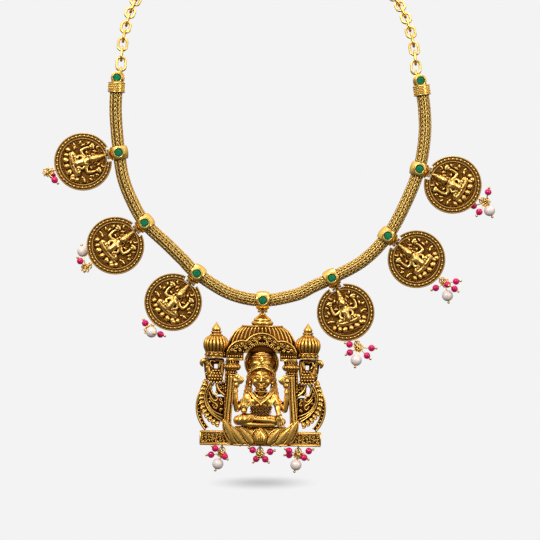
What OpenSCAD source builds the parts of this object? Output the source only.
/* [Neck loop] */
// Rise of the nape above the two ends of the rope
nape_rise = 60; // [50:1:75]
// Distance from the front of the necklace back to the nape
neck_depth = 75; // [60:1:90]
// Length of one chain link, outside
link_l = 7; // [6:0.1:9]
// Width of one chain link, outside
link_w = 4.8; // [4.4:0.1:6]
// Thickness of the link wire
link_wire = 1.1; // [0.9:0.05:1.2]
// Length of the clasp's barrel
clasp_l = 9; // [7:0.5:14]
// Diameter of the clasp's barrel
clasp_d = 3.6; // [3:0.1:5]

/* [Rope] */
// Diameter of the woven rope
rope_d = 5.5; // [4.5:0.1:6]
// Gap between the rope and the metal sleeves round it
sleeve_gap = 0.37; // [0.3:0.01:0.45]
// Wall of the sleeves where they are thinnest
sleeve_wall = 0.38; // [0.3:0.02:0.7]
// Length of the ferrule on each end of the rope
ferrule_l = 4.2; // [3.5:0.1:6]

/* [Sliders and stones] */
// Length of a slider along the rope
slider_l = 5.6; // [5:0.1:7]
// How far the slider's barrel swells above its ends
slider_swell = 0.5; // [0.2:0.05:0.8]
// Diameter of a cut stone
stone_d = 3.5; // [3:0.1:4]
// Wall of the bezel round a stone
bezel_wall = 0.6; // [0.4:0.05:0.8]
// Height of a bezel above its sleeve
bezel_h = 1.7; // [1.4:0.1:2.5]

/* [Hinges] */
// Radius of the hinge knuckles
knuckle_r = 0.8; // [0.7:0.05:1]
// Width of the knuckle that hangs on the pin
knuckle_w = 1.5; // [1.2:0.1:2]
// Width of each lug beside that knuckle
lug_w = 1.2; // [0.8:0.1:1.3]
// Diameter of the hinge pin
pin_d = 0.7; // [0.6:0.05:0.8]
// Gap between moving metal faces
run_gap = 0.15; // [0.12:0.01:0.2]

/* [Coin medallions] */
// Diameter of a coin medallion
coin_d = 24.8; // [22:0.2:27]
// Thickness of the coin's plate
coin_t = 1.2; // [1:0.1:1.6]
// How deep the field is sunk below the rim
field_sink = 0.35; // [0.2:0.05:0.5]
// How far the coin's edge reaches past the hinge axis
coin_bite = 0.85; // [0.6:0.05:1]

/* [Pendant] */
// Width of the base bar
bar_w = 51.8; // [48:0.2:56]
// Height of the base bar
bar_h = 6.2; // [5:0.1:7]
// Thickness of the base bar
bar_t = 3; // [2.4:0.1:4]
// Whole depth of the dome, from its front to its flat back
dome_depth = 6.6; // [5.6:0.1:7.6]
// Distance from the middle to a pillar's axis at the capital
pillar_x = 12.6; // [12.2:0.1:13]
// Diameter of a pillar's shaft
shaft_d = 2.6; // [2:0.1:3]
// Distance from the middle to the axis of a side dome
turret_x = 19.7; // [19.2:0.1:20.4]
// Radius of a side dome
turret_r = 4.9; // [4.4:0.1:5.2]
// Outer radius of a peacock's tail
tail_r = 15.1; // [14.6:0.1:15.6]
// Radius of the halo
halo_r = 7.5; // [7:0.1:7.7]
// Seating gap between pieces that are fixed together
seat_gap = 0.12; // [0.1:0.01:0.2]

/* [Bead drops] */
// Diameter of a small bead
bead_d = 2.9; // [2.5:0.1:3.1]
// Diameter of a pearl
pearl_d = 4.8; // [4.2:0.1:5]
// Diameter of a bead wire
wire_d = 0.5; // [0.4:0.05:0.6]
// Gap round the wire in a bead's drill hole
drill_gap = 0.11; // [0.1:0.01:0.15]
// Radius of the ring that hangs in a loop, at the middle of its wire
jump_r = 1.3; // [1.2:0.05:1.5]
// Radius of a loop, at the middle of its wire
loop_r = 1; // [0.95:0.05:1.2]
// Diameter of the loop's wire
loop_wire = 0.7; // [0.6:0.05:0.8]

/* [Hidden] */
LAST_COIN = 6;
COINS = [for (i = [1 : LAST_COIN]) i];
DROPS = [for (i = [1 : 9]) i];
PEARLED = [2, 3, 4, 5, 6, 7, 9];

// Colours as the photograph shows them
OLD_GOLD = [0.62, 0.49, 0.22];
WARM_GOLD = [0.85, 0.62, 0.24];
GREEN = [0.02, 0.45, 0.28];
MAGENTA = [0.82, 0.05, 0.38];
PEARL = [0.94, 0.88, 0.84];

// Facets: round things stay true circles above 12, the meshed ones use these
ROUND = 32;
ROPE_SIDES = 10;
RINGS_PER_SPAN = 3;
STONE_SIDES = 10;
MESH = 8;
JUMP_SIDES = 12;
RIM_SIDES = 10;
WIRE_SIDES = 6;
BALL_SIDES = 8;
BIG = 60;

// Route of the rope's middle line in the front plane, x and z from the level of the end
// stones, chosen by hand
ROUTE = [
    [-62.8, -4.2], [-63.3, -14], [-62.8, -24], [-61.8, -33.5], [-60.1, -44], [-56.4, -53.8],
    [-50.7, -63.6], [-41.1, -72.8], [-34.4, -79.4], [-28.3, -85.4], [-14.2, -94], [0, -96.9],
    [14, -94.6], [21.6, -91], [29.6, -87.3], [43, -80], [53.6, -69.2], [60.9, -56.2],
    [67.2, -40.6], [69.6, -26.5], [69.5, -15], [68.2, -5.5]
];
END = len(ROUTE) - 1;

// Sliders: the point of the route that each sits on, and the angle by which its drop is
// turned off the rope's normal, in degrees
KNOT = 0;
TURN = 1;
SLIDERS = [[3, 8.5], [6, -1.7], [9, -5.5], [14, -7], [16, -2.5], [18, -11.5], [11, 0.2]];
PENDANT = 7;

// Sleeves, bezels and hinge
rope_r = rope_d / 2;
bore_r = rope_r + sleeve_gap;
sleeve_r = bore_r + sleeve_wall;
stone_r = stone_d / 2;
bezel_r = stone_r + bezel_wall;
bezel_top = sleeve_r + bezel_h;
pocket_depth = 1.45;
stone_gap = 0.11;
ferrule_lid = 0.9;
end_gap = 0.25;
hinge_z = sleeve_r + run_gap + knuckle_r;
pin_bore_r = pin_d / 2 + 0.12;
lug_x = knuckle_w / 2 + run_gap + lug_w / 2;
web_t = 1.2;

// Coin
coin_r = coin_d / 2;
rim_wire = 0.55;
inner_ring_r = coin_r * 0.806;
granule_ring_r = coin_r * 0.895;
notch_half = slider_l / 2 + 0.3;
notch_drop = knuckle_r + run_gap + 0.1;
coin_seat = coin_r - coin_bite;
coin_loop_z = -coin_r - loop_r + 0.25;

// Pendant: heights measured down from its hinge axis, as z values
pend_back = 3.2;
pend_front = pend_back - dome_depth;
bulb_top = -knuckle_r - 0.3;
bulb_foot = -4.35;
ring_z = -5.35;
ring_r = 4.7;
cap_z = -6.5;
cap_w = 8.8;
arch_z = -18.3;
arch_w = 15.1;
arch_t = 1.1;
frieze_foot = -21.5;
capital_foot = -25.6;
halo_z = -22.5;
bar_top = -51.9;
bar_z = bar_top - bar_h / 2;
seat_z = -49.4;
tail_x = 13;
tail_z = -41.6;
bar_front = -1.2;
drop_x = 16.4;
bar_loop_z = bar_top - bar_h - loop_r + 0.25;

// Arch: three lobes as [x, z, radius]
LOBES = [[0, -17.9, 8.4], [-8.4, -19.5, 6.75], [8.4, -19.5, 6.75]];

// Dome: half width of the section at each height below the hinge
DOME_Z = 0;
DOME_W = 1;
DOME = [[-6.7, 8.3], [-8.9, 11.6], [-11.7, 13.5], [-14.6, 14.6], [arch_z, arch_w]];

// Drops: where each bead sits from its loop, as x, y and z, first the pearl if it has one.
// The last column says whether the row is a pearl.
PEARL_ROW = true;
BEAD_ROW = false;
DROP_BEADS = [
    [[0.5, -1.0, -4.2, BEAD_ROW], [-0.6, 2.5, -2.2, BEAD_ROW]],
    [[-3.7, 2.9, 5.5, PEARL_ROW], [-4.6, -1.2, 1.3, BEAD_ROW]],
    [[-0.5, -3.3, -2.9, PEARL_ROW], [-3.4, 2.2, 0.8, BEAD_ROW], [3.2, 0.8, -4.0, BEAD_ROW]],
    [[0, -0.8, -8.2, PEARL_ROW], [-2.9, -1.4, -1.4, BEAD_ROW], [-2.7, 1.2, -4.9, BEAD_ROW],
     [6.6, 0.4, -3.0, BEAD_ROW], [4.6, -1.0, -6.2, BEAD_ROW]],
    [[3.2, 0.4, -7.3, PEARL_ROW], [-1.8, 0.8, -4.0, BEAD_ROW], [3.0, -3.0, -2.5, BEAD_ROW],
     [6.9, 0.6, -1.2, BEAD_ROW], [6.1, -1.6, -4.4, BEAD_ROW]],
    [[4.2, 0.5, -4.9, PEARL_ROW], [3.5, -1.6, 3.0, BEAD_ROW], [-2.5, 2.5, -2.8, BEAD_ROW],
     [-0.3, -1.0, -5.5, BEAD_ROW]],
    [[-1.8, 0.3, -7.3, PEARL_ROW], [-2.9, -2.6, -0.6, BEAD_ROW], [-4.7, 0.9, -3.4, BEAD_ROW],
     [1.2, -1.6, -4.1, BEAD_ROW]],
    [[-3.2, -1.6, -1.0, BEAD_ROW], [4.3, -0.6, -1.8, BEAD_ROW], [-1.7, 0.8, -4.9, BEAD_ROW],
     [2.2, -0.8, -5.0, BEAD_ROW]],
    [[-1.0, 0.3, -7.2, PEARL_ROW], [-4.0, -2.4, -1.0, BEAD_ROW], [-3.9, 1.0, -3.0, BEAD_ROW],
     [2.5, -0.8, -4.0, BEAD_ROW], [4.5, -1.0, -1.2, BEAD_ROW]]
];
hub_r = 0.75;
hub_hang = 0.35;
side_share = 0.3;
side_most = 0.35;
ball_r = 0.58;

// Chain
pitch_max = link_l - 2 * link_wire - 0.2;
end_loop_side = 1.5;
SAMPLES = 48;

FRONT = [0, -neck_depth, -nape_rise];

// Functions
function unit(v) = v / norm(v);
function tangent(i) = unit(ROUTE[min(i + 1, END)] - ROUTE[max(i - 1, 0)]);
function slope(i) = atan2(tangent(i)[1], tangent(i)[0]);
function turned(p, a) = [p[0] * cos(a) - p[2] * sin(a), p[1], p[0] * sin(a) + p[2] * cos(a)];
function at_route(i, p) = FRONT + [ROUTE[i][0], 0, ROUTE[i][1]] + turned(p, slope(i));
function curve_point(a, b, c, d, t) =
    0.5 * (2 * b + (c - a) * t + (2 * a - 5 * b + 4 * c - d) * t * t
    + (3 * b - a - 3 * c + d) * t * t * t);
function span_points(i) = [for (k = [0 : RINGS_PER_SPAN - 1])
    curve_point(ROUTE[max(i - 1, 0)], ROUTE[i], ROUTE[i + 1], ROUTE[min(i + 2, END)],
    k / RINGS_PER_SPAN)];
function bezier(p, t) = pow(1 - t, 3) * p[0] + 3 * t * pow(1 - t, 2) * p[1]
    + 3 * t * t * (1 - t) * p[2] + t * t * t * p[3];

// The rope's own middle line, in the front plane
LINE = concat([for (i = [0 : END - 1]) each span_points(i)], [ROUTE[END]]);
function line_tangent(k) = unit(LINE[min(k + 1, len(LINE) - 1)] - LINE[max(k - 1, 0)]);

module at_slider(i) {
    k = SLIDERS[i - 1][KNOT];
    translate(at_route(k, [0, 0, 0])) rotate([0, -slope(k), 0]) children();
}

module at_hinge(i) {
    at_slider(i) translate([0, 0, -hinge_z]) rotate([0, -SLIDERS[i - 1][TURN], 0]) children();
}

module rod(p, q, r1, r2) {
    v = q - p;
    translate(p) rotate([0, acos(v[2] / norm(v)), atan2(v[1], v[0])])
        cylinder(r1 = r1, r2 = r2, h = norm(v), $fn = ROUND);
}

module along_x(r, h) {
    rotate([0, 90, 0]) cylinder(r = r, h = h, center = true, $fn = ROUND);
}

// Cylinder that faces the front, from one depth to another
module facing(r, y0, y1) {
    translate([0, y0, 0]) rotate([-90, 0, 0]) cylinder(r = r, h = y1 - y0, $fn = ROUND);
}

module ring(r, wire) {
    rotate_extrude($fn = ROUND) translate([r, 0]) circle(d = wire, $fn = ROUND);
}

// Rope
module rope() {
    sides = ROPE_SIDES;
    n = len(LINE);
    points = [for (k = [0 : n - 1]) for (s = [0 : sides - 1])
        let (t = line_tangent(k), a = 360 * s / sides)
        FRONT + [LINE[k][0] - t[1] * rope_r * cos(a), rope_r * sin(a),
            LINE[k][1] + t[0] * rope_r * cos(a)]];
    walls = [for (k = [0 : n - 2]) for (s = [0 : sides - 1]) let (e = (s + 1) % sides)
        [k * sides + s, k * sides + e, (k + 1) * sides + e, (k + 1) * sides + s]];
    ends = [[for (s = [0 : sides - 1]) sides - 1 - s],
        [for (s = [0 : sides - 1]) (n - 1) * sides + s]];
    color(OLD_GOLD) polyhedron(points, concat(walls, ends));
}

// Stone with a flat table, a faceted crown and a faceted pavilion, facing the front
module gem(top) {
    table_r = stone_r * 0.58;
    color(GREEN) translate([0, -top - 0.15, 0]) rotate([-90, 0, 0]) {
        cylinder(r1 = table_r, r2 = stone_r, h = 0.55, $fn = STONE_SIDES);
        translate([0, 0, 0.54]) cylinder(r = stone_r, h = 0.22, $fn = STONE_SIDES);
        translate([0, 0, 0.75]) cylinder(r1 = stone_r, r2 = 0.5, h = 0.7, $fn = STONE_SIDES);
    }
}

module bezel_pocket(top) {
    facing(stone_r + stone_gap, -top - 0.5, -top + pocket_depth);
}

// Sliders
module barrel() {
    steps = 8;
    arc = [for (k = [0 : steps]) let (u = 2 * k / steps - 1)
        [sleeve_r + slider_swell * (1 - u * u), u * slider_l / 2]];
    rotate([0, 90, 0]) rotate_extrude($fn = ROUND)
        polygon(concat([[bore_r, -slider_l / 2]], arc, [[bore_r, slider_l / 2]]));
}

module slider(i) {
    color(WARM_GOLD) at_slider(i) {
        difference() {
            union() {
                barrel();
                facing(bezel_r, -bezel_top, -bore_r + 0.3);
                for (side = [-1, 1]) translate([side * lug_x, 0, 0]) {
                    translate([0, 0, -hinge_z]) along_x(knuckle_r, lug_w);
                    translate([-lug_w / 2, -web_t / 2, -hinge_z])
                        cube([lug_w, web_t, hinge_z - bore_r]);
                }
            }
            along_x(bore_r, slider_l * 2);
            bezel_pocket(bezel_top);
            translate([0, 0, -hinge_z]) along_x(knuckle_r + run_gap, knuckle_w + 2 * run_gap);
        }
        translate([0, 0, -hinge_z]) along_x(pin_d / 2, 2 * lug_x);
    }
}

// Ends of the rope: a ferrule, a bezel beyond it and the loop for the back chain.
// dir is -1 where the rope starts and 1 where it ends.
function end_knot(dir) = dir < 0 ? 0 : END;
function end_bezel_x(dir) = dir * (ferrule_lid - 0.3 + bezel_r);
function end_loop_at(dir) = [end_bezel_x(dir) + dir * (bezel_r + 0.85), 0.8, end_loop_side];
function end_loop_point(dir) = at_route(end_knot(dir), end_loop_at(dir));

module at_end(dir) {
    translate(at_route(end_knot(dir), [0, 0, 0])) rotate([0, -slope(end_knot(dir)), 0])
        children();
}

module end_cap(dir) {
    color(WARM_GOLD) {
        at_end(dir) difference() {
            union() {
                translate([dir * (ferrule_lid - ferrule_l / 2), 0, 0])
                    along_x(sleeve_r, ferrule_l);
                translate([end_bezel_x(dir), 0, 0]) facing(bezel_r, -bezel_h - 0.6, 1.6);
            }
            translate([dir * (end_gap - ferrule_l), 0, 0]) along_x(bore_r, 2 * ferrule_l);
            translate([end_bezel_x(dir), 0, 0]) bezel_pocket(bezel_h + 0.6);
        }
        translate(end_loop_point(dir)) chain_loop();
        rod(at_route(end_knot(dir), [end_bezel_x(dir) + dir * 0.6, 0.8, end_loop_side]),
            end_loop_point(dir) - [0, 0, chain_loop_r], 0.5, 0.5);
    }
}

module stone_end(dir) {
    at_end(dir) translate([end_bezel_x(dir), 0, 0]) gem(bezel_h + 0.6);
}

module stone(i) {
    at_slider(i) gem(bezel_top);
}

// Back chain: a ring at each rope end, then oval links up to the clasp at the nape
chain_loop_r = link_wire / 2 + 0.3 + 0.45;
clasp_loop_x = clasp_l / 2 + chain_loop_r + 0.1;

module chain_loop() {
    rotate([0, 90, 0]) ring(chain_loop_r, 0.9);
}

function chain_ends(dir) = [end_loop_point(dir), end_loop_point(dir) + [0, 0, 36],
    [dir * 46, 0, 0], [dir * clasp_loop_x, 0, 0]];
function chain_samples(dir) = let (p = chain_ends(dir))
    [for (k = [0 : SAMPLES]) bezier(p, k / SAMPLES)];
function run_to(pts, k) = k == 0 ? 0 : run_to(pts, k - 1) + norm(pts[k] - pts[k - 1]);
function cross_side(t) = unit(cross(t, [0, -1, 0]));

module link() {
    straight = (link_l - link_w) / 2;
    middle = (link_w - link_wire) / 2;
    for (side = [-1, 1]) {
        translate([0, 0, side * straight]) rotate([side * 90, 0, 0])
            rotate_extrude(angle = 180, $fn = ROUND)
                translate([middle, 0]) circle(d = link_wire, $fn = ROUND);
        translate([side * middle, 0, -straight])
            cylinder(d = link_wire, h = 2 * straight, $fn = ROUND);
    }
}

module back_chain(dir) {
    pts = chain_samples(dir);
    arc_table = [for (k = [0 : SAMPLES]) [run_to(pts, k), k / SAMPLES]];
    whole = arc_table[SAMPLES][0];
    first = (link_l - link_wire) / 2;
    least = ceil((whole - 2 * first) / pitch_max);
    count = least % 2 == 0 ? least : least + 1;
    pitch = (whole - 2 * first) / count;
    p = chain_ends(dir);
    color(WARM_GOLD) for (k = [0 : count]) {
        s = first + k * pitch;
        here = bezier(p, lookup(s, arc_table));
        near = bezier(p, lookup(s - 1, arc_table));
        far = bezier(p, lookup(s + 1, arc_table));
        t = unit(far - near);
        u = cross_side(t);
        v = cross(t, u);
        a = k % 2 == 0 ? u : v;
        b = cross(t, a);
        multmatrix([[a[0], b[0], t[0], here[0]], [a[1], b[1], t[1], here[1]],
            [a[2], b[2], t[2], here[2]], [0, 0, 0, 1]]) link();
    }
}

module clasp() {
    color(WARM_GOLD) {
        along_x(clasp_d / 2, clasp_l);
        for (side = [-1, 1]) {
            translate([side * clasp_loop_x, 0, 0]) ring(chain_loop_r, 0.9);
            translate([side * clasp_l / 2, 0, 0]) along_x(clasp_d / 2 + 0.3, 0.9);
        }
    }
}

// Coin medallions, each with a seated figure in relief
module coin_plate() {
    half = coin_t / 2;
    field = -half + field_sink;
    rotate([-90, 0, 0]) rotate_extrude($fn = ROUND) union() {
        polygon([[0, half], [coin_r - 0.3, half], [coin_r, half - 0.3], [coin_r, -half],
            [inner_ring_r, -half], [inner_ring_r - 0.3, field], [0, field]]);
        for (r = [coin_r - rim_wire / 2, granule_ring_r, inner_ring_r])
            translate([r, -half]) circle(d = rim_wire, $fn = RIM_SIDES);
    }
}

module coin_figure() {
    field = -coin_t / 2 + field_sink;
    s = coin_r / 12.4;
    translate([0, field, 0]) scale(s) {
        rod([0, 0, 5.4], [0, 0, 10.6], 1.7, 0.4);
        translate([0, 0, 4.3]) sphere(r = 1.75, $fn = ROUND);
        rod([0, 0, -3.2], [0, 0, 2.6], 1.7, 1.9);
        for (side = [-1, 1]) {
            rod([side * 1.2, 0, 1.8], [side * 4.4, 0, 0.4], 0.7, 0.6);
            rod([side * 4.4, 0, 0.4], [side * 5.2, 0, 4.2], 0.6, 0.5);
            translate([side * 5.3, 0, 5.1]) sphere(r = 1.1, $fn = ROUND);
            rod([side * 1.6, 0, -3.9], [side * 5.3, 0, -4.5], 1.3, 0.9);
            rod([side * 5.2, 0, -4.6], [-side * 1, 0, -5.5], 0.8, 0.6);
        }
        for (k = [-2 : 2])
            translate([k * 2.9, 0, -7.2 + 0.22 * k * k]) sphere(r = 1.3, $fn = ROUND);
        translate([-3.8, -0.28, -9.1]) cube([7.6, 0.7, 0.5]);
    }
}

module medallion(i) {
    color(OLD_GOLD) difference() {
        union() {
            at_hinge(i) translate([0, 0, -coin_seat]) {
                difference() {
                    union() {
                        coin_plate();
                        coin_figure();
                    }
                    translate([-BIG / 2, coin_t / 2, -BIG / 2]) cube([BIG, BIG, BIG]);
                }
                translate([0, 0, coin_loop_z]) rotate([0, 90, 0]) ring(loop_r, loop_wire);
            }
        }
        at_slider(i) translate([-notch_half, -BIG / 2, -hinge_z - notch_drop])
            cube([2 * notch_half, BIG, BIG]);
    }
    color(OLD_GOLD) at_slider(i) translate([0, 0, -hinge_z]) hinge_knuckle(notch_drop + 0.6);
}

module hinge_knuckle(drop) {
    difference() {
        union() {
            along_x(knuckle_r, knuckle_w);
            translate([-knuckle_w / 2, -coin_t / 2 + 0.1, -drop])
                cube([knuckle_w, coin_t - 0.2, drop]);
        }
        along_x(pin_bore_r, knuckle_w * 2);
    }
}

// Pendant frame: hinge, bulb, ribbed dome, lobed arch, pillars, side domes and base bar
function lens_r(w, depth) = (w * w + depth * depth) / (2 * depth);

module lens(w, depth, h) {
    intersection() {
        translate([0, pend_back - depth + lens_r(w, depth), 0])
            cylinder(r = lens_r(w, depth), h = h, $fn = 64);
        translate([-BIG, pend_back - BIG, -BIG]) cube([2 * BIG, BIG, 2 * BIG]);
    }
}

module behind_cut() {
    translate([-BIG, pend_back, -2 * BIG]) cube([2 * BIG, BIG, 3 * BIG]);
}

module turned_part(profile) {
    rotate_extrude($fn = ROUND) polygon(profile);
}

module pendant_top() {
    difference() {
        union() {
            turned_part([[0, bulb_top], [1.2, bulb_top], [1.6, bulb_top - 0.7],
                [2.5, bulb_top - 1.5], [3.6, bulb_top - 2.4], [3.8, bulb_foot + 0.3],
                [3.3, bulb_foot - 0.3], [3.2, ring_z - 0.1], [0, ring_z - 0.1]]);
            translate([0, 0, ring_z]) ring(ring_r - 0.95, 1.9);
            translate([0, 0, cap_z]) cylinder(r = ring_r - 0.5, h = ring_z - cap_z, $fn = ROUND);
        }
        behind_cut();
    }
    translate([0, 0, cap_z - 1]) lens(cap_w, dome_depth, 1.1);
}

module dome() {
    hull() for (row = DOME)
        translate([0, 0, row[DOME_Z]]) lens(row[DOME_W], dome_depth, 0.05);
}

module arch() {
    front = pend_front - arch_t;
    difference() {
        for (lobe = LOBES) translate([lobe[0], 0, lobe[1]])
            facing(lobe[2], front, pend_front + 1.5);
        for (lobe = LOBES) translate([lobe[0], 0, lobe[1]])
            facing(lobe[2] - 0.6, front - 1, front + 0.4);
        translate([-BIG / 2, -BIG / 2, arch_z - BIG]) cube([BIG, BIG, BIG]);
    }
}

module capital() {
    turned_part([[0, 0], [2.3, 0], [2.5, -0.7], [2.3, -1.5], [3.1, -2], [3.3, -3], [2.6, -4.1],
        [0, -4.1]]);
}

module pillar(side) {
    top = capital_foot;
    translate([side * pillar_x, 0, frieze_foot]) capital();
    translate([side * pillar_x, 0, 0]) {
        rod([0, 0, top + 0.1], [side * 0.6, 0, top - 2.4], 1.9, 1.7);
        rod([side * 0.6, 0, top - 2.3], [side * 1.7, 0, bar_top - 0.6], shaft_d / 2,
            shaft_d / 2 + 0.3);
        rod([side * 2.4, 0.6, top + 1], [side * 2.7, 0.6, bar_top - 0.6], 0.7, 0.9);
    }
}

module turret(side) {
    translate([side * turret_x, 0.2, 0]) {
        turned_part([[0, -5.3], [0.35, -5.6], [1.2, -7], [1.9, -8.4], [1.6, -9.3], [2, -9.5],
            [2.1, -10.4], [2.4, -10.7], [turret_r * 0.85, -12.1], [turret_r, -14.3],
            [turret_r * 0.97, -16.3], [turret_r * 0.84, -18], [turret_r * 0.9, -18.2],
            [turret_r * 0.86, -20.5], [0, -20.5]]);
    }
}

module pendant_frame() {
    bar_back = bar_front + bar_t;
    color(WARM_GOLD) at_hinge(PENDANT) {
        hinge_knuckle(-bulb_top + 0.3);
        pendant_top();
        difference() {
            union() {
                dome();
                arch();
                for (side = [-1, 1]) {
                    pillar(side);
                    turret(side);
                    translate([side * (arch_w + halo_r + 0.3) / 2 - (arch_w - halo_r - 0.3) / 2,
                        pend_front + 0.6, frieze_foot])
                        cube([arch_w - halo_r - 0.3, 5.2, arch_z - frieze_foot + 0.1]);
                    translate([side * (turret_x + arch_w) / 2 - 3.4, 1, -20.5])
                        cube([6.8, 1.8, 7]);
                }
                translate([-bar_w / 2, bar_front, bar_top - bar_h]) cube([bar_w, bar_t, bar_h]);
                for (z = [bar_top - 0.45, bar_top - bar_h + 0.45])
                    translate([-bar_w / 2, bar_front - 0.3, z - 0.45])
                        cube([bar_w, bar_t, 0.9]);
            }
            behind_cut();
            translate([0, 0, halo_z]) facing(halo_r + seat_gap, -BIG / 2, pend_back - 1.2);
        }
        for (x = [-drop_x, 0, drop_x])
            translate([x, (bar_front + bar_back) / 2, bar_loop_z]) rotate([0, 90, 0])
                ring(loop_r, loop_wire);
    }
}

// Limb, petal and knob shapes of the cast figures, kept to few faces
module limb(p, r1, q, r2) {
    hull() {
        translate(p) sphere(r = r1, $fn = MESH);
        translate(q) sphere(r = r2, $fn = MESH);
    }
}

module knob(p, r) {
    translate(p) sphere(r = r, $fn = MESH);
}

module flat_knob(p, r, squash) {
    translate(p) scale([1, squash, 1]) sphere(r = r, $fn = MESH);
}

// Peacock: curled crest and head, beaded neck, wing and the round tail that ends on the bar
module peacock_half() {
    petals = 11;
    band = 1.8;
    back = 1.4;
    inside = tail_r - band;
    bead_in = tail_r - 5.1;
    bead_out = tail_r - 3.1;
    wing_r = tail_r - 4.5;
    difference() {
        union() {
            // tail band
            difference() {
                translate([-tail_x, 0, tail_z]) rotate([-90, 0, 0])
                    translate([0, 0, -1]) cylinder(r = tail_r, h = 2 + back, $fn = 56);
                translate([-tail_x, 0, tail_z]) rotate([-90, 0, 0])
                    translate([0, 0, -5]) cylinder(r = inside, h = 12, $fn = 48);
                translate([-19.6, -10, tail_z - BIG / 2]) cube([BIG, 20, BIG]);
                translate([-BIG, -10, tail_z + 9.6]) cube([BIG, 20, BIG]);
            }
            // large beads round the tail
            for (k = [0 : petals]) {
                a = 128 + k * 10.4;
                limb([-tail_x - 0.6 + cos(a) * bead_in, 0.2, tail_z + 0.6 + sin(a) * bead_in], 1,
                    [-tail_x - 0.6 + cos(a) * bead_out, -0.2, tail_z + 0.6 + sin(a) * bead_out], 1.25);
            }
            // wing plate with its raised border
            translate([0, 1.2, 0]) rotate([90, 0, 0]) linear_extrude(2) difference() {
                intersection() {
                    translate([-tail_x - 0.6, tail_z + 0.6]) circle(r = wing_r, $fn = 40);
                    translate([-BIG - 16.2, -52]) square([BIG, 21]);
                }
                translate([-19.6, -38.2]) scale([0.5, 1.4]) circle(r = 1.4, $fn = 12);
                translate([-17.6, -41.6]) circle(r = 0.9, $fn = 10);
            }
            // wing feathers
            for (k = [0 : 3])
                limb([-17.4 - k * 0.5, -1, -48.6 + k * 0.9], 0.55,
                    [-22.4 + k * 0.9, -0.9, -37.6 + k * 0.4], 0.7);
            // chest and beaded neck
            limb([-19.6, 0.2, -33.5], 2.6, [-19.4, 0.2, -28.2], 3.1);
            limb([-19.4, 0.2, -28.2], 3.1, [-20.8, 0.2, -24.8], 1.9);
            limb([-22.6, 0, -26], 0.9, [-24, 0, -33], 1.2);
            limb([-17.4, 0.4, -24], 1, [-17, 0.4, -33], 0.9);
            // head and curled crest
            limb([-20.8, 0.2, -24.6], 1.7, [-22.6, 0.2, -22.6], 1.6);
            limb([-22.6, 0.2, -22.4], 1.4, [-25, 0, -22.2], 1.1);
            limb([-25, 0, -22.2], 1.1, [-26.2, 0, -24.6], 0.7);
            limb([-18.8, 0.2, -22.2], 1.1, [-22.4, 0.2, -22], 1.3);
            limb([-17.2, 0.4, -24], 1, [-18.6, 0.2, -22.2], 1);
        }
        translate([-BIG - 16, -BIG / 2, bar_top + seat_gap - BIG]) cube([2 * BIG, BIG, BIG]);
        translate([-pillar_x - 3.8, -BIG / 2, -BIG]) cube([BIG, BIG, BIG]);
        translate([-BIG, -BIG / 2, -20.5 - seat_gap]) cube([2 * BIG, BIG, BIG]);
        translate([-BIG / 2, pend_back - 0.8, -BIG]) cube([BIG, BIG, 2 * BIG]);
    }
}

module peacock(side) {
    color(WARM_GOLD) at_hinge(PENDANT) {
        if (side < 0) peacock_half();
        else mirror([1, 0, 0]) peacock_half();
    }
}

// Seated four-armed figure with a halo, tall crown and plain face
module crown() {
    translate([0, -0.6, 0]) rotate_extrude($fn = 14) polygon([[0, -15.2], [0.5, -15.6],
        [0.9, -17], [2.4, -18], [2.7, -19.4], [3.9, -20], [4.1, -22], [4.9, -22.6], [5.2, -25],
        [4.3, -26], [0, -26]]);
}

module face() {
    translate([0, -1, -28.3]) scale([0.82, 0.78, 1]) sphere(r = 4.7, $fn = 16);
    hull() {
        knob([0, -4.5, -27.4], 0.3);
        knob([0, -4.9, -29.2], 0.5);
    }
    limb([-0.7, -4.3, -30.8], 0.3, [0.7, -4.3, -30.8], 0.3);
    for (side = [-1, 1]) {
        flat_knob([side * 1.6, -4.1, -27.7], 0.6, 0.5);
        knob([side * 3.9, -0.8, -30.2], 1);
    }
}

module arms() {
    for (side = [-1, 1]) {
        // raised rear arms with a lotus each
        limb([side * 5.6, 0.6, -37.2], 1.5, [side * 8.4, 0.4, -41.6], 1.2);
        limb([side * 8.4, 0.4, -41.6], 1.2, [side * 9.3, 0, -33], 0.9);
        limb([side * 9.3, -0.4, -32.4], 1, [side * 8.9, -0.6, -29.6], 1.1);
        limb([side * 8.9, -0.4, -29.4], 0.8, [side * 8.4, -0.4, -27], 1.5);
        // front arms
        limb([side * 5.2, -0.8, -37.4], 1.5, [side * 6.6, -1.4, -43.4], 1.2);
    }
    limb([-6.6, -1.4, -43.4], 1.1, [-6.8, -2.6, -41.6], 0.9);
    hull() {
        knob([-7.2, -2.8, -41.6], 0.8);
        knob([-5.6, -2.8, -41.6], 0.8);
        knob([-7.4, -2.6, -38.4], 0.7);
        knob([-5.8, -2.6, -38.2], 0.7);
    }
    limb([6.6, -1.4, -43.4], 1.1, [8.2, -3, -45], 0.9);
    hull() {
        knob([7.6, -3.4, -44.8], 0.8);
        knob([9.2, -3.2, -44.8], 0.8);
        knob([8, -3.6, -49.2], 0.6);
        knob([9.6, -3.4, -49], 0.6);
    }
}

module lap() {
    for (side = [-1, 1]) {
        limb([side * 2, 0, -47], 2.3, [side * 9, -1.2, -46.8], 1.7);
        limb([side * 9, -1.4, -47], 1.6, [-side * 2, -2.2, -48.2], 1.1);
    }
    limb([-3, -1, -48.6], 1.3, [3, -1, -48.6], 1.3);
}

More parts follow.
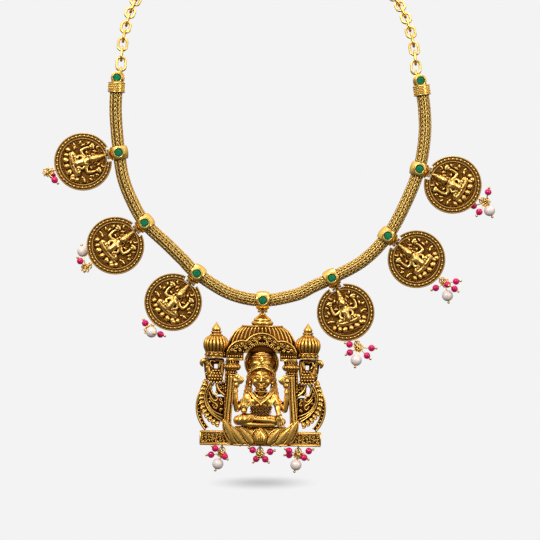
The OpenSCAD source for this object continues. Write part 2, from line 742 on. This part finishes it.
module goddess_figure() {
    color(WARM_GOLD) at_hinge(PENDANT) difference() {
        union() {
            translate([0, 0, halo_z]) rotate([-90, 0, 0]) {
                translate([0, 0, -0.07]) cylinder(r = halo_r - 0.04, h = 1, $fn = 36);
                translate([0, 0, -0.9]) difference() {
                    cylinder(r = halo_r, h = 1.2, $fn = 36);
                    translate([0, 0, -1]) cylinder(r = halo_r - 1, h = 3, $fn = 36);
                }
            }
            crown();
            face();
            // hair, neck and body
            limb([-3.4, 0.2, -30], 1.6, [-4.6, 0.2, -35.4], 1.4);
            limb([3.4, 0.2, -30], 1.6, [4.6, 0.2, -35.4], 1.4);
            limb([0, -0.4, -32], 1.9, [0, -0.4, -34.6], 2);
            hull() {
                knob([-4.8, 0, -36.6], 1.9);
                knob([4.8, 0, -36.6], 1.9);
                knob([-3.4, -1, -40], 2);
                knob([3.4, -1, -40], 2);
                knob([0, 0, -45], 3);
            }
            knob([-2.4, -1.8, -38.6], 1.5);
            knob([2.4, -1.8, -38.6], 1.5);
            arms();
            lap();
        }
        translate([-BIG / 2, -BIG / 2, seat_z + seat_gap - BIG]) cube([BIG, BIG, BIG]);
        translate([-BIG / 2, pend_back - 1.3, -BIG]) cube([BIG, BIG, BIG]);
    }
}

// Lotus throne: one wide petal in the middle and three to each side
module petal(x, w, h, lean) {
    foot = bar_top - bar_h + 1;
    hull() {
        translate([x * 0.8, -2.2, foot]) scale([1, 0.6, 1]) sphere(r = w * 0.5, $fn = 8);
        translate([x, -3.1, foot + h * 0.45]) scale([1, 0.4, 1]) sphere(r = w * 0.55, $fn = 8);
        translate([x + lean, -2.8, foot + h]) sphere(r = 0.35, $fn = 6);
    }
}

module lotus_throne() {
    foot = bar_top - bar_h + 0.3;
    color(WARM_GOLD) at_hinge(PENDANT) difference() {
        union() {
            petal(0, 5.2, 8.2, 0);
            for (side = [-1, 1]) {
                petal(side * 5.4, 4.2, 7.4, side * 1);
                petal(side * 9.4, 4, 7.8, side * 1.6);
                petal(side * 12.6, 3.6, 8.8, side * 2);
            }
            hull() for (side = [-1, 1]) {
                translate([side * 10.5, -2, foot]) sphere(r = 0.9, $fn = 8);
                translate([side * 13.2, -2, seat_z - 0.8]) sphere(r = 0.8, $fn = 8);
            }
            hull() for (side = [-1, 1]) {
                translate([side * 11, -1.5, seat_z - 1.2]) sphere(r = 1.2, $fn = 8);
                translate([side * 9, 1, seat_z - 1.2]) sphere(r = 1.2, $fn = 8);
            }
        }
        translate([-BIG / 2, bar_front - 0.3 - seat_gap, bar_top - BIG + seat_gap])
            cube([BIG, BIG, BIG]);
        translate([-11.2, -BIG / 2, seat_z]) cube([22.4, BIG, BIG]);
        for (side = [-1, 1]) translate([side * 14.3 - 3.1, -1.7 - seat_gap, -BIG])
            cube([6.2, BIG, 2 * BIG]);
        translate([-BIG / 2, -BIG / 2, bar_top - bar_h - BIG]) cube([BIG, BIG, BIG]);
    }
}

// Bead drops: a ring in the loop, a knot of wires, and a ball-ended wire for each bead
function hang_angle(i) = slope(SLIDERS[i - 1][KNOT]) + SLIDERS[i - 1][TURN];
function drop_dir(i) = turned([0, 0, -1], hang_angle(min(i, PENDANT)));
function hinge_point(i) = at_route(SLIDERS[i - 1][KNOT], [0, 0, -hinge_z]);
function drop_loop(i) = i <= LAST_COIN
    ? hinge_point(i) + drop_dir(i) * (coin_seat - coin_loop_z)
    : hinge_point(PENDANT) + turned([(i - 8) * drop_x, bar_front + bar_t / 2, bar_loop_z],
        hang_angle(PENDANT));
function hub(i) = drop_loop(i) + drop_dir(i) * (2 * jump_r + hub_hang);
function bead_at(i, k) = let (row = DROP_BEADS[i - 1][k])
    drop_loop(i) + [row[0], row[1], row[2]];
function row_r(row) = row[3] ? pearl_d / 2 : bead_d / 2;
function wire_side(i, k) = side_share * DROP_BEADS[i - 1][k][1];
function wire_start(i, k) = hub(i) + [0, max(-side_most, min(side_most, wire_side(i, k))), 0];
function wire_dir(i, k) = unit(bead_at(i, k) - wire_start(i, k));

// One bead wire with its ball end, pointing up from its start
module ball_pin(length) {
    cylinder(d = wire_d, h = length + ball_r, $fn = WIRE_SIDES);
    translate([0, 0, length + ball_r * 0.8]) sphere(r = ball_r, $fn = BALL_SIDES);
}

module aimed(v) {
    rotate([0, acos(v[2] / norm(v)), atan2(v[1], v[0])]) children();
}

module drop_wires(i) {
    rows = DROP_BEADS[i - 1];
    color(WARM_GOLD) {
        translate(drop_loop(i) + drop_dir(i) * (jump_r + 0.05)) rotate([90, 0, 0])
            rotate_extrude($fn = JUMP_SIDES) translate([jump_r, 0])
                circle(d = wire_d + 0.1, $fn = WIRE_SIDES);
        translate(hub(i)) sphere(r = hub_r, $fn = BALL_SIDES);
        for (k = [0 : len(rows) - 1])
            translate(wire_start(i, k)) aimed(wire_dir(i, k))
                ball_pin(norm(bead_at(i, k) - wire_start(i, k)) + row_r(rows[k]) + 0.1);
    }
}

// Bead or pearl, a turned solid with its drill hole along the wire
module drilled(i, k) {
    r = row_r(DROP_BEADS[i - 1][k]);
    translate(bead_at(i, k)) aimed(wire_dir(i, k)) rotate_extrude($fn = ROUND) difference() {
        circle(r = r, $fn = ROUND);
        translate([wire_d / 2 + drill_gap - BIG, -BIG / 2]) square([BIG, BIG]);
    }
}

module drop_beads(i) {
    color(MAGENTA) for (k = [0 : len(DROP_BEADS[i - 1]) - 1])
        if (!DROP_BEADS[i - 1][k][3]) drilled(i, k);
}

module drop_pearl(i) {
    color(PEARL) for (k = [0 : len(DROP_BEADS[i - 1]) - 1])
        if (DROP_BEADS[i - 1][k][3]) drilled(i, k);
}

rope();
end_cap(-1);  // end_cap_left
end_cap(1);  // end_cap_right
stone_end(-1);  // stone_end_left
stone_end(1);  // stone_end_right
for (i = [1 : 7]) slider(i);
for (i = [1 : 7]) stone(i);
for (i = COINS) medallion(i);
pendant_frame();
peacock(-1);  // peacock_left
peacock(1);  // peacock_right
goddess_figure();
lotus_throne();
for (i = DROPS) drop_wires(i);
for (i = DROPS) drop_beads(i);
for (i = PEARLED) drop_pearl(i);
back_chain(-1);  // back_chain_left
back_chain(1);  // back_chain_right
clasp();
